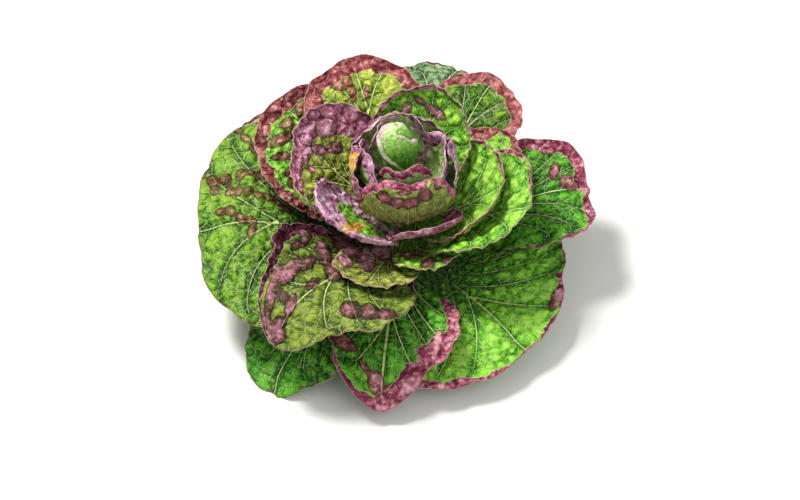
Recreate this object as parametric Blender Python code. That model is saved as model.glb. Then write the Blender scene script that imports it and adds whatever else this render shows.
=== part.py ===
"""Purple-edged butterhead lettuce: a trimmed stem, a dense heart and leaves in nested rings.

The leaves follow a family of nested bowls round the stem, so that they overlap without
touching. Each leaf is one thin closed solid with a fleshy midrib and a waved, curled edge.
Lengths are millimetres until the meshes are made in metres. The origin is the middle of
the stem's flat cut face, which rests on the ground.
"""
import math
from dataclasses import dataclass

import bmesh
import bpy
import numpy as np

MM = 0.001

# stem, cut flat at the bottom, and the gap that its neighbours keep
STEM_RADIUS = 17.0
STEM_CLEARANCE = 0.8
STEM_TOP = 74.0
STEM_SIDES = 24

# heart, an egg of tightly wrapped leaves on a narrow neck
HEART_BOTTOM = STEM_TOP + 0.4
HEART_MIDDLE = 117.0
HEART_HALF_HEIGHT = 20.0
HEART_RADIUS = 14.2
NECK_RADIUS = 5.6
NECK_FLARE = 5.5
HEART_WRAPS = 3
HEART_STEP = 0.9
HEART_TWIST = 1.9
HEART_LEAN = 5.0
HEART_TIP = 0.99
HEART_COLUMNS = 24
HEART_ROWS = 12

# leaf blade, midrib and edge
BLADE = 0.9
RIB_DEPTH = 0.012
RIB_WIDTH = 4.5
RIB_FADE = 1.4
EDGE_SHARE = 0.085
LEAF_SWEEP = 2.1
EDGE_TAPER = 0.3
TIP_WIDTH = 0.16
SLOPE_STEP = 1.5
EDGE_ONSET = 2.8
LEAST_CURL = 0.01
SHARP_ANGLE = 50.0

# waves along a leaf's edge: how often, how high, and how far they shift the outline
WAVES = ((3.6, 1.0), (5.8, 0.6), (1.9, 0.5))
OUTLINE_WAVE = 0.03

# the leaves behind stand higher than those in front
BACK_LIFT = 32.0
LIFT_RADIUS = 125.0
LIFT_FOCUS = 1.5

# half sections of the nested bowls, as radius and height of the points that steer a curve,
# from the ring round the heart (0) to the outermost ring (5)
BOWLS = np.array((
    ((7.5, 72), (26, 78), (29, 94), (29, 112), (27, 122)),
    ((8, 64), (46, 66), (50, 86), (44, 104), (34, 112)),
    ((10, 50), (44, 55), (66, 74), (74, 97), (82, 99)),
    ((12, 36), (48, 44), (84, 65), (106, 84), (120, 73)),
    ((14, 23), (52, 31), (96, 51), (134, 74), (158, 51)),
    ((15, 10), (55, 15), (104, 28), (142, 36), (176, -8)),
), float)
BOWL_STEPS = 140
BOWL_TAIL = 60.0

# rows from base to edge strip, columns across and rows in the edge strip
MESH_SIZE = {
    "outer": (6, 16, 2),
    "middle": (6, 14, 2),
    "inner": (5, 12, 2),
    "frill": (5, 12, 1),
}

# colour and roughness of each kind of piece
FINISH = {
    "stem": ((0.62, 0.62, 0.34), 0.6),
    "heart": ((0.42, 0.60, 0.18), 0.45),
    "outer": ((0.13, 0.33, 0.07), 0.5),
    "middle": ((0.20, 0.42, 0.09), 0.5),
    "inner": ((0.33, 0.42, 0.14), 0.5),
    "frill": ((0.45, 0.24, 0.26), 0.5),
}


@dataclass
class Leaf:
    """One leaf: its ring among the bowls, its direction and its outline.

    azimuth and spread are degrees, spread to each side. reach scales the length from the
    low-azimuth side to the high one, and curl bends the edge strip up, in degrees, the
    same way. lift raises the edge off its bowl.
    """
    name: str
    kind: str
    ring: float
    azimuth: float
    length: float
    spread: float
    base: float = 26.0
    reach: tuple = (1, 1, 1, 1, 1)
    curl: tuple = (10, 30, 10, 30, 10)
    lift: tuple = (0, 0, 0, 0, 0)
    tip: float = 0.0
    wave: float = 1.0


LEAVES = (
    Leaf("leaf_front_left_low", "outer", 4.97, -125, 167, 15, base=16, reach=(1, 0.82, 1.3, 0.78, 0.9),
         curl=(0, 0, 5, 0, 0)),
    Leaf("leaf_front_right", "outer", 5.0, -53, 151, 46, base=34, reach=(1, 1.27, 0.77, 0.61, 1.42),
         curl=(-10, 0, 15, 30, 50)),
    Leaf("leaf_back_low", "outer", 5.2, 112, 142, 28, curl=(0, 5, 10, 5, 0)),
    Leaf("leaf_back_right_low", "outer", 4.67, 75, 148, 30),
    Leaf("leaf_back_left_low", "outer", 4.68, 148, 152, 30),
    Leaf("leaf_right", "outer", 4.5, 8, 140, 25, curl=(10, 10, 20, 60, 60)),
    Leaf("leaf_front", "outer", 4.52, -96, 164, 23, reach=(1, 0.46, 1.17, 0.82, 0.95),
         curl=(40, 50, -10, 50, 40), lift=(0, 0, -26, 0, 0), tip=24),
    Leaf("leaf_left", "outer", 4.27, 190, 140, 50, reach=(1, 1.22, 0.8, 1.52, 1.3),
         curl=(10, 15, 10, -5, -10)),
    Leaf("leaf_back_right", "outer", 4.15, 57, 126, 25, reach=(1, 1, 1, 0.85, 1),
         curl=(50, 30, 20, 40, 20)),
    Leaf("leaf_front_left", "outer", 3.84, -125, 132, 35, reach=(1, 0.95, 0.72, 1.6, 0.95),
         curl=(120, 130, 20, -10, -20), tip=32),
    Leaf("leaf_back_left", "middle", 3.75, 141, 115, 42, reach=(1, 1.25, 1.05, 1, 1)),
    Leaf("leaf_back", "middle", 3.35, 110, 122, 33, reach=(1, 0.8, 1, 1.05, 1),
         curl=(20, 20, 40, 20, 20)),
    Leaf("leaf_upper_right", "middle", 3.6, 22, 90, 38, curl=(20, 20, 30, 20, 10)),
    Leaf("leaf_front_small", "middle", 3.39, -107, 96, 22, base=20, curl=(20, 20, 10, 20, 20)),
    Leaf("leaf_right_bowl", "middle", 2.61, -22, 102, 42, reach=(1.1, 1.1, 1, 1, 1),
         curl=(10, 20, 30, 40, 20)),
    Leaf("leaf_front_tip", "middle", 2.95, -74, 78, 20, base=20, curl=(10, 30, -20, 30, 10)),
    Leaf("leaf_left_cupped", "middle", 2.55, 157, 93, 46, curl=(20, 60, 40, 20, 10)),
    Leaf("leaf_front_curled", "middle", 2.2, -141, 80, 40, curl=(60, 110, 100, 60, 20)),
    Leaf("leaf_right_cupped", "middle", 2.25, -10, 80, 55, curl=(60, 60, 50, 40, 10)),
    Leaf("leaf_front_folded", "middle", 1.85, -66, 66, 36, curl=(20, 40, 90, 90, 60)),
    Leaf("leaf_back_folded", "middle", 1.84, 70, 82, 44, curl=(80, 100, 60, 40, 10)),
    Leaf("cup_leaf_front", "inner", 1.06, -86, 80, 50.5, curl=(10, 20, 50, 20, 10)),
    Leaf("cup_leaf_right", "inner", 0.82, 5, 66, 32, curl=(10, 40, -150, 40, 10)),
    Leaf("cup_leaf_back", "inner", 1.0, 100, 75, 52, reach=(1, 0.95, 1, 1, 1),
         curl=(10, 30, 20, 30, 10)),
    Leaf("cup_leaf_left", "inner", 0.82, 188, 66, 33, curl=(10, 40, -150, 40, 10)),
    Leaf("frill_leaf_left", "frill", 0.36, 196, 60, 54, curl=(-20, -50, -60, -50, -20)),
    Leaf("frill_leaf_right", "frill", 0.34, 6, 58, 50, curl=(-20, -50, -60, -50, -20)),
    Leaf("frill_leaf_back", "frill", 0.02, 104, 62, 48, curl=(20, 40, 30, 40, 20)),
    Leaf("frill_leaf_front", "frill", 0.0, -88, 58, 44, curl=(10, 30, 40, 30, 10)),
)


def clear_scene():
    for old in list(bpy.data.objects):
        bpy.data.objects.remove(old, do_unlink=True)


def make_materials():
    materials = {}
    for kind, (colour, roughness) in FINISH.items():
        material = bpy.data.materials.new(kind)
        material.use_nodes = True
        shader = material.node_tree.nodes["Principled BSDF"]
        shader.inputs["Base Color"].default_value = (*colour, 1.0)
        shader.inputs["Roughness"].default_value = roughness
        shader.inputs["Metallic"].default_value = 0.0
        materials[kind] = material
    return materials


def smooth_step(x):
    x = np.clip(x, 0, 1)
    return x * x * (3 - 2 * x)


def steered(values, t):
    """Bezier curve through the first and last of its steering values, t from 0 to 1."""
    n = len(values) - 1
    return sum(math.comb(n, k) * t**k * (1 - t) ** (n - k) * v for k, v in enumerate(values))


def bowl_section(ring):
    """Points (radius, height) down one bowl's half section, with their arc lengths."""
    last = len(BOWLS) - 2
    i = min(int(ring), last)
    f = ring - i
    here, there = BOWLS[i], BOWLS[i + 1]
    before = BOWLS[i - 1] if i > 0 else 2 * here - there
    after = BOWLS[i + 2] if i < last else 2 * there - here
    control = 0.5 * (2 * here + (there - before) * f
                     + (2 * before - 5 * here + 4 * there - after) * f**2
                     + (3 * here - before - 3 * there + after) * f**3)
    t = np.linspace(0, 1, BOWL_STEPS)[:, None]
    curve = steered(list(control), t)
    tail = curve[-1] - curve[-2]
    curve = np.vstack([curve, curve[-1] + tail / np.linalg.norm(tail) * BOWL_TAIL])
    steps = np.linalg.norm(np.diff(curve, axis=0), axis=1)
    return curve, np.concatenate([[0], np.cumsum(steps)])


def place_on_bowl(ring, azimuth, s, phi, rise):
    """World points at arc length s and side angle phi, rise above the bowl."""
    curve, arc = bowl_section(ring)
    r = np.interp(s, arc, curve[:, 0])
    z = np.interp(s, arc, curve[:, 1])
    dr = np.interp(s + SLOPE_STEP, arc, curve[:, 0]) - np.interp(s - SLOPE_STEP, arc, curve[:, 0])
    dz = np.interp(s + SLOPE_STEP, arc, curve[:, 1]) - np.interp(s - SLOPE_STEP, arc, curve[:, 1])
    slope = np.hypot(dr, dz)
    r = r - rise * dz / slope
    z = z + rise * dr / slope
    angle = math.radians(azimuth) + phi
    behind = (0.5 + 0.5 * np.sin(angle)) ** LIFT_FOCUS
    z = z + BACK_LIFT * behind * smooth_step(r / LIFT_RADIUS)
    return np.stack([r * np.cos(angle), r * np.sin(angle), z], -1)


def unit(vectors):
    return vectors / np.linalg.norm(vectors, axis=-1, keepdims=True)


def sheet_normals(points):
    """Normals of a grid of points, towards the heart's side of the leaf."""
    return unit(np.cross(np.gradient(points, axis=0), np.gradient(points, axis=1)))


def ruffles(a, seed):
    """Uneven waves along the edge, about -2 to 2."""
    starts = np.random.default_rng(seed).uniform(0, 2 * math.pi, len(WAVES))
    return sum(height * np.sin(rate * a + start) for (rate, height), start in zip(WAVES, starts))


def leaf_sheet(leaf, seed):
    """Middle surface of a leaf: rows from base to edge, columns across."""
    rows, columns, strip_rows = MESH_SIZE[leaf.kind]
    tau = np.linspace(-1, 1, columns + 1)
    share = (tau + 1) / 2
    a = LEAF_SWEEP * tau
    ruffle = ruffles(a, seed)
    edge = leaf.length * EDGE_SHARE * (EDGE_TAPER + (1 - EDGE_TAPER) * np.sqrt(1 - tau**2))
    outline = leaf.length * np.cos(a / 2) ** 2 * steered(leaf.reach, share)
    outline = outline + leaf.tip * np.exp(-(tau / TIP_WIDTH) ** 2)
    outline = outline * (1 + OUTLINE_WAVE * ruffle) - edge * np.cos(a)
    fan = math.radians(leaf.spread) * np.sin(a)
    rho = np.linspace(0, 1, rows + 1)[:, None]
    s = rho * outline
    phi = (1 - rho) * math.radians(leaf.base) * tau + rho * fan
    rise = rho**EDGE_ONSET * (leaf.wave * ruffle + steered(leaf.lift, share))
    sheet = place_on_bowl(leaf.ring, leaf.azimuth, s, phi, rise)
    return np.concatenate([sheet, edge_strip(leaf, sheet, share, edge, strip_rows)])


def edge_strip(leaf, sheet, share, edge, strip_rows):
    """Rows that carry the sheet on past its last row, bent up by the leaf's curl."""
    up = sheet_normals(sheet)[-1]
    out = unit(np.cross(unit(np.gradient(sheet[-1], axis=0)), up))
    curl = np.radians(steered(leaf.curl, share))
    curl = np.where(np.abs(curl) < LEAST_CURL, LEAST_CURL, curl)[:, None]
    strip = []
    for k in range(1, strip_rows + 1):
        turn = curl * k / strip_rows
        radius = edge[:, None] / curl
        strip.append(sheet[-1] + radius * (np.sin(turn) * out + (1 - np.cos(turn)) * up))
    return np.array(strip)


def leaf_faces(leaf, sheet):
    """Upper and lower points of a leaf, with the midrib's depth on the lower face."""
    rows, columns = sheet.shape[:2]
    normals = sheet_normals(sheet)
    rho = np.linspace(0, 1, rows)[:, None]
    middle = sheet[:, columns // 2][:, None]
    aside = np.linalg.norm(sheet - middle, axis=-1)
    rib = leaf.length * RIB_DEPTH * (1 - rho) ** RIB_FADE * np.exp(-(aside / RIB_WIDTH) ** 2)
    upper = sheet + normals * BLADE / 2
    lower = sheet - normals * (BLADE / 2 + rib[..., None])
    return upper, lower


def blade_triangles(rows, columns):
    """Triangles that close a blade, split alike on its upper and lower faces."""
    def top(i, j):
        return i * columns + j

    def bottom(i, j):
        return rows * columns + i * columns + j

    quads = []
    for i in range(rows - 1):
        for j in range(columns - 1):
            corners = ((i, j), (i + 1, j), (i + 1, j + 1), (i, j + 1))
            a, b, c, d = (top(*corner) for corner in corners)
            e, f, g, h = (bottom(*corner) for corner in corners)
            quads += [(a, b, c, d), (g, f, e, h)]
    for j in range(columns - 1):
        last = rows - 1
        quads.append((top(last, j), bottom(last, j), bottom(last, j + 1), top(last, j + 1)))
        quads.append((top(0, j + 1), bottom(0, j + 1), bottom(0, j), top(0, j)))
    for i in range(rows - 1):
        last = columns - 1
        quads.append((top(i, 0), bottom(i, 0), bottom(i + 1, 0), top(i + 1, 0)))
        quads.append((top(i + 1, last), bottom(i + 1, last), bottom(i, last), top(i, last)))
    return [triangle for p, q, r, s in quads for triangle in ((p, q, r), (p, r, s))]


def add_solid(name, points, faces, material):
    """Object with a smooth-shaded mesh from points in millimetres."""
    bm = bmesh.new()
    vertices = [bm.verts.new(point * MM) for point in np.asarray(points, float)]
    for face in faces:
        bm.faces.new([vertices[index] for index in face])
    mesh = bpy.data.meshes.new(name)
    bm.to_mesh(mesh)
    bm.free()
    mesh.shade_smooth()
    mesh.set_sharp_from_angle(angle=math.radians(SHARP_ANGLE))
    mesh.materials.append(material)
    solid = bpy.data.objects.new(name, mesh)
    bpy.context.scene.collection.objects.link(solid)
    return solid


def add_leaf(leaf, seed, material):
    upper, lower = leaf_faces(leaf, leaf_sheet(leaf, seed))
    rows, columns = upper.shape[:2]
    points = np.concatenate([upper.reshape(-1, 3), lower.reshape(-1, 3)])
    return add_solid(leaf.name, points, blade_triangles(rows, columns), material)


def turned_solid(name, rings, material):
    """Solid from closed rings of points, lowest first, with a flat bottom and a flat top."""
    count = len(rings[0])
    faces = [tuple(reversed(range(count)))]
    for i in range(len(rings) - 1):
        for j in range(count):
            k = (j + 1) % count
            low, high = i * count, (i + 1) * count
            faces += [(low + j, low + k, high + k), (low + j, high + k, high + j)]
    faces.append(tuple(range((len(rings) - 1) * count, len(rings) * count)))
    return add_solid(name, np.concatenate(rings), faces, material)


def ring_of_points(radius, z, count):
    angle = np.linspace(0, 2 * math.pi, count, endpoint=False)
    return np.stack([radius * np.cos(angle), radius * np.sin(angle), np.full(count, z)], -1)


def add_stem(material):
    """Tapering stem just inside the leaf bases, with its widest end cut flat."""
    starts = BOWLS[::-1, 0]
    heights = [0.0, *starts[:, 1], STEM_TOP]
    radii = [STEM_RADIUS, *starts[:, 0], starts[-1, 0] - STEM_CLEARANCE]
    rings = [ring_of_points(radius - STEM_CLEARANCE, z, STEM_SIDES)
             for radius, z in zip(radii, heights)]
    return turned_solid("stem", rings, material)


def heart_radius(z):
    """Egg above, and below its widest place never slimmer than the flared neck."""
    egg = HEART_RADIUS * math.sqrt(max(1 - ((z - HEART_MIDDLE) / HEART_HALF_HEIGHT) ** 2, 0))
    if z > HEART_MIDDLE:
        return egg
    rise = (z - HEART_BOTTOM) / (HEART_MIDDLE - HEART_BOTTOM)
    return max(egg, NECK_RADIUS + NECK_FLARE * float(smooth_step(2 * rise)))


def add_heart(material):
    """Egg on a narrow neck, with the edges of its wrapped leaves in spiral steps."""
    angle = np.linspace(0, 2 * math.pi, HEART_COLUMNS, endpoint=False)
    top = HEART_MIDDLE + HEART_HALF_HEIGHT * HEART_TIP
    rings = []
    for t in np.linspace(0, 1, HEART_ROWS + 1):
        z = HEART_BOTTOM + (top - HEART_BOTTOM) * math.sin(t * math.pi / 2)
        wrap = (angle / (2 * math.pi) * HEART_WRAPS + HEART_TWIST * t) % 1
        radius = heart_radius(z) + HEART_STEP * (wrap - 0.5) * math.sin(math.pi * t)
        rings.append(np.stack([radius * np.cos(angle) - HEART_LEAN * smooth_step(t),
                               radius * np.sin(angle), np.full(HEART_COLUMNS, z)], -1))
    return turned_solid("heart", rings, material)


def build():
    clear_scene()
    materials = make_materials()
    add_stem(materials["stem"])
    add_heart(materials["heart"])
    for seed, leaf in enumerate(LEAVES):
        add_leaf(leaf, seed, materials[leaf.kind])


build()
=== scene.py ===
"""Looks of the purple-edged butterhead lettuce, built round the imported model.

Each CAD leaf is replaced by a fine closed blade on the same bowl, with blisters between its
veins, a crinkled edge and its own colours. Lengths are millimetres until the meshes are made
in metres, and pixel positions are those of the 800 x 500 view.
"""
import math
from dataclasses import dataclass

import bpy
import numpy as np
from mathutils import Euler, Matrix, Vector


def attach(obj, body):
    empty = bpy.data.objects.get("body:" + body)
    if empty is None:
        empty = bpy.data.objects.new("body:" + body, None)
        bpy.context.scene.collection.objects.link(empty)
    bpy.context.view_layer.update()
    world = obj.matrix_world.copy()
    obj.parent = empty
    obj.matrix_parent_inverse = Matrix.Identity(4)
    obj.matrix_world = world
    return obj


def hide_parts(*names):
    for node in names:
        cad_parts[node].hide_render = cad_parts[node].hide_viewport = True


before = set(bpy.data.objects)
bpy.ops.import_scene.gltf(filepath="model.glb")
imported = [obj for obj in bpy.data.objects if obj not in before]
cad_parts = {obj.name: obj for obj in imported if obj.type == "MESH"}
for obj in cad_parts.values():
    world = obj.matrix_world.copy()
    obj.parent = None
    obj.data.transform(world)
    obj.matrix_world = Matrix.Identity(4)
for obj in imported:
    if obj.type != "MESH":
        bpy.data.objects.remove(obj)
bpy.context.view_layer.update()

MM = 0.001

# camera of the photograph
VIEW_ELEVATION = 46.0
VIEW_DISTANCE = 1500.0
VIEW_TARGET = (-3.0, -34.0, 40.0)
VIEW_FOCAL_PIXELS = 1960.0
VIEW_SIZE = (800, 500)
VIEW_CLIP = (0.05, 50)
SENSOR_WIDTH = 36.0

# stem and heart, as in the part
STEM_RADIUS = 17.0
STEM_CLEARANCE = 0.8
STEM_TOP = 74.0
HEART_BOTTOM = STEM_TOP + 0.4
HEART_MIDDLE = 117.0
HEART_HALF_HEIGHT = 20.0
HEART_RADIUS = 14.2
NECK_RADIUS = 5.6
NECK_FLARE = 5.5
HEART_WRAPS = 3
HEART_TWIST = 1.9
HEART_LEAN = 5.0
HEART_TIP = 0.99

# leaf blade, midrib and edge, as in the part
BLADE = 0.9
RIB_DEPTH = 0.012
RIB_WIDTH = 4.5
RIB_FADE = 1.4
EDGE_SHARE = 0.085
LEAF_SWEEP = 2.1
EDGE_TAPER = 0.3
TIP_WIDTH = 0.16
SLOPE_STEP = 1.5
EDGE_ONSET = 2.8
LEAST_CURL = 0.01
WAVES = ((3.6, 1.0), (5.8, 0.6), (1.9, 0.5))
OUTLINE_WAVE = 0.03
BACK_LIFT = 32.0
LIFT_RADIUS = 125.0
LIFT_FOCUS = 1.5
BOWLS = np.array((
    ((7.5, 72), (26, 78), (29, 94), (29, 112), (27, 122)),
    ((8, 64), (46, 66), (50, 86), (44, 104), (34, 112)),
    ((10, 50), (44, 55), (66, 74), (74, 97), (82, 99)),
    ((12, 36), (48, 44), (84, 65), (106, 84), (120, 73)),
    ((14, 23), (52, 31), (96, 51), (134, 74), (158, 51)),
    ((15, 10), (55, 15), (104, 28), (142, 36), (176, -8)),
), float)
BOWL_STEPS = 140
BOWL_TAIL = 60.0

# fine relief, which the part leaves out
EDGE_NICK = 0.16
NICK_RATES = ((23.0, 0.5), (37.0, 0.3), (61.0, 0.2))
CRINKLE_WAVES = ((10.5, 0.55), (6.4, 0.45))
CRINKLE_REACH = 9.0
CRINKLE_SHARE = 0.006
CRINKLE_LEAST = 0.25
BEAD_WAVE = 7.0
BEAD_REACH = 6.0
VEIN_RECESS = 0.35
VEIN_RIDGE = 0.5
VEIN_VALLEY = 1.7
PUCKER_HEIGHT = 1.1
PUCKER_REACH = 9.0
RIM_TAPER = 0.5
RIM_REACH = 3.0
# least height of a blade's lower side above the ground
REST_HEIGHT = 0.2
# leaf length that the veins and puckers are sized for, and where a leaf's base ends
USUAL_LENGTH = 150
BASE_SHARE = 0.45
BASE_MARGIN = 6
# heights of the domes, as shares of the blister, and how much a dome's height lightens its colour, a
# painted highlight on the taller domes
DOME_HEIGHTS = (0.1, 1.2)
DOME_HIGHLIGHTS = (0.4, 0.6)
# soft random swells: how long, how many waves make one, and how they shift edge waves
SWELL_LENGTH = 0.5
SWELL_WAVES = 7
SWELL_SCALE = 3.2
SWELL_SPREAD = (0.7, 1.4)
CRINKLE_SHIFT = 0.8
BEAD_SHIFT = 1.5
LATEST_PHASE = 6.28
# limits of the fields that the shader reads, and how far a leaf's painted shade reaches from its base
MARGIN_LIMITS = (-12, 20)
VEIN_LIMIT = 8
NET_LIMIT = 5
PAINTED_SHADE_REACH = 1.25
# main side veins: where along the midrib each starts and how far aside it ends
SIDE_VEINS = ((0.02, 0.88), (0.06, 0.68), (0.15, 0.49), (0.30, 0.33), (0.50, 0.18))
# branches of a side vein: where along it each starts and how far aside it turns
BRANCHES = ((0.30, -0.11), (0.46, 0.12), (0.64, -0.09))
BRANCH_RUN = 0.30
# how widely their starts, ends and turns vary
START_SPREAD = (0.85, 1.15)
END_SPREAD = (0.95, 1.05)
STOP_SPREAD = (0.82, 0.94)
FORK_SPREAD = (-0.08, 0.08)
TURN_SPREAD = (0.8, 1.2)
TURN_BEND = 0.8
SIDE_BEND = (0.5, 0.6)
FURTHEST_ASIDE = 0.97
# half widths in millimetres: the midrib's extra at its base and its least, then from start to end
MIDRIB_WIDTHS = (0.85, 0.25)
MAIN_WIDTHS = (0.50, 0.16)
BRANCH_WIDTHS = (0.24, 0.10)
NO_VEIN = -0.5
CELL_TRIES = 3500
NEAREST_SEEDS = 4
FIRST_SEED = 1000
FAR = 1e9

# patches: millimetres that a view pixel spans, how far one counts, the value far from any,
# how round one is, and how strongly the nearer of two layers is taken for its centre
PIXEL = 0.765
PATCH_REACH = 2.5
PATCH_FAR = 6.0
PATCH_BEND = 0.7
NEARER_LAYER = 0.02

# fine heart: its wraps' step, lip and wander, its ridges, and the direction of its painted light, where
# it is palest
HEART_FINE_COLUMNS = 192
HEART_FINE_ROWS = 150
HEART_FINE_STEP = 1.3
HEART_LIP = 2.6
HEART_SHIFT = 3.4
HEART_LIGHT_FROM = np.array((-0.66, 0.24, 0.71))
HEART_LIP_SHARE = 0.035
HEART_LIP_BEND = 5
HEART_WANDER = ((0.10, 2, 9), (0.05, 5, -14))
HEART_RIDGE = (0.16, 17, 3)

# fine stem: its ridges, how deep they go in all, and the rings of its cut face
STEM_COLUMNS = 144
STEM_ROWS = 60
STEM_RIDGES = ((9, 0.30), (23, 0.18))
STEM_RIDGE_DEPTH = 0.48
STEM_RIDGE_FADE = 4
CUT_RINGS = (0.06, 0.3, 0.6, 0.85)

# rows from base to edge strip, columns across and rows in the edge strip
FINE_SIZE = {
    "outer": (80, 110, 14),
    "middle": (64, 90, 12),
    "inner": (56, 76, 10),
    "frill": (50, 64, 8),
}

# colours of the leaf body, as light, middle and deep sRGB values
GREENS = {
    "bright": ((164, 228, 80), (80, 168, 16), (2, 66, 0)),
    "leafy": ((126, 172, 44), (46, 98, 4), (0, 36, 0)),
    "fresh": ((176, 228, 84), (92, 172, 22), (6, 76, 0)),
    "deep": ((100, 186, 40), (30, 112, 4), (0, 38, 0)),
    "yellow": ((200, 210, 88), (126, 154, 32), (40, 78, 4)),
    "olive": ((200, 204, 94), (126, 136, 40), (44, 56, 8)),
    "moss": ((142, 160, 56), (72, 98, 16), (16, 36, 0)),
    "blue": ((140, 172, 120), (56, 98, 56), (8, 40, 28)),
    "pale": ((240, 246, 206), (190, 216, 132), (96, 146, 50)),
}

# colours of margins and blotches, the same way
PURPLES = {
    "mauve": ((236, 190, 204), (158, 80, 110), (64, 10, 36)),
    "lilac": ((244, 216, 232), (182, 122, 154), (86, 24, 60)),
    "berry": ((232, 166, 182), (150, 54, 88), (62, 4, 28)),
    "wine": ((212, 150, 142), (126, 56, 56), (54, 8, 14)),
    "rose": ((230, 172, 180), (142, 58, 82), (70, 8, 30)),
    "pink": ((216, 150, 142), (142, 64, 68), (76, 16, 26)),
    "plum": ((182, 118, 134), (78, 24, 38), (24, 0, 10)),
    "brown": ((190, 168, 108), (112, 70, 46), (54, 14, 10)),
}

# noises of the leaf shader: scale per metre, detail, roughness and offset
CLOUDS = (45, 4, 0.6)
MOTTLE = (260, 4, 0.65, 3.1)
GRAIN = (1300, 2, 0.6, 7.7)
SUN_SPOTS = (28, 3, 0.6, 6.1)
BORDER_ROUGH = (130, 4, 0.6, 1.3)
BORDER_SWEEP = (48, 2, 0.5, 2.4)
PATCH_ROUGH = (300, 3, 0.6, 5.0)
PURPLE_CLOUDS = (85, 4, 0.65, 9.2)
# nets of cell borders: scale per metre and how far a noise pushes them
FINE_NET = (330, 0.0035)
COARSE_NET = (120, 0.006)
PURPLE_NET = (230, 0.004)
BUMP_SCALE = 230

# where the deep, middle and light colours lie, and the other colours of a leaf
GREEN_STOPS = (0.12, 0.5, 0.88)
PURPLE_STOPS = (0.18, 0.48, 0.88)
GOLD_STOPS = (0.2, 0.5, 0.85)
GOLD_SHADES = ((156, 90, 30), (220, 168, 62), (246, 220, 130))
SUN = (190, 200, 70)
VEIN = (212, 228, 150)
UNDERSIDE = (146, 168, 96)
SEAM = (208, 204, 150)
RIM_HIGHLIGHT = (226, 206, 184)

# how strongly each layer of a leaf's colour shows: the base, fold, crease, valley, purple crease and ring
# layers are painted shade, the crown layer is painted highlight, and the rim layer is partly painted
# highlight
TONE_LIFT = 0.12
# painted shade: how much a leaf's colour darkens towards its base, where the leaves around it shadow it
PAINTED_BASE_SHADE = 0.66
SUN_SHARE = 0.35
FOLD_SHADE_SHARE = 0.28
THREAD_SHARE = 0.20
CREASE_SHADE_SHARE = 0.42
CROWN_HIGHLIGHT_SHARE = 0.34
VALLEY_SHADE_SHARE = 0.34
BRANCH_SHARE = 0.42
MAIN_SHARE = 0.92
UNDER_SHARE = 0.22
BORDER_ROUGHNESS = 11.0
BORDER_SWING = 26.0
PATCH_ROUGHNESS = 2.4
PURPLE_CREASE_SHADE_SHARE = 0.26
PURPLE_VEIN_SHARE = 0.4
RING_SHADE_SHARE = 0.8
GOLD_SHARE = 0.85
SEAM_SHARE = 0.35
RIM_SHARE = 0.45

# studio: floor, room light, and lamps by name, place, size, watts and colour
FLOOR_SIDE = 6.0
ROOM_LIGHT = 0.52
LAMP_AIM = (0, 0, 0.05)
LAMPS = (
    ("key", (-0.65, 0.45, 1.3), 0.45, 30.0, (1.0, 0.985, 0.955)),
    ("fill", (0.9, -0.9, 1.1), 1.2, 6.0, (0.97, 0.985, 1.0)),
)


@dataclass
class Leaf:
    """One leaf: its shape as in the part, then its looks.

    margin is the purple border's width in millimetres at even steps from the low-azimuth
    side to the high one. blister is the height of the domes between veins, cell their
    size, and beads the height of the round swellings on the rim. patches are purple spots
    and blisters: the pixel each is seen at, its half sizes in pixels, its turn in degrees
    clockwise and its height in millimetres. gold lists yellowed spots the same way. vein
    scales the veins' width, and the last field gives painted shade: how much the leaf's
    colour darkens towards its base, where the leaves around it shadow it.
    """
    name: str
    kind: str
    ring: float
    azimuth: float
    length: float
    spread: float
    base: float = 26.0
    reach: tuple = (1, 1, 1, 1, 1)
    curl: tuple = (10, 30, 10, 30, 10)
    lift: tuple = (0, 0, 0, 0, 0)
    tip: float = 0.0
    green: str = "bright"
    purple: str = "mauve"
    margin: tuple = (2, 2)
    blister: float = 1.2
    cell: float = 9.0
    beads: float = 0.0
    patches: tuple = ()
    gold: tuple = ()
    vein: float = 1.0
    painted_shade: float = 0.0


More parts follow.
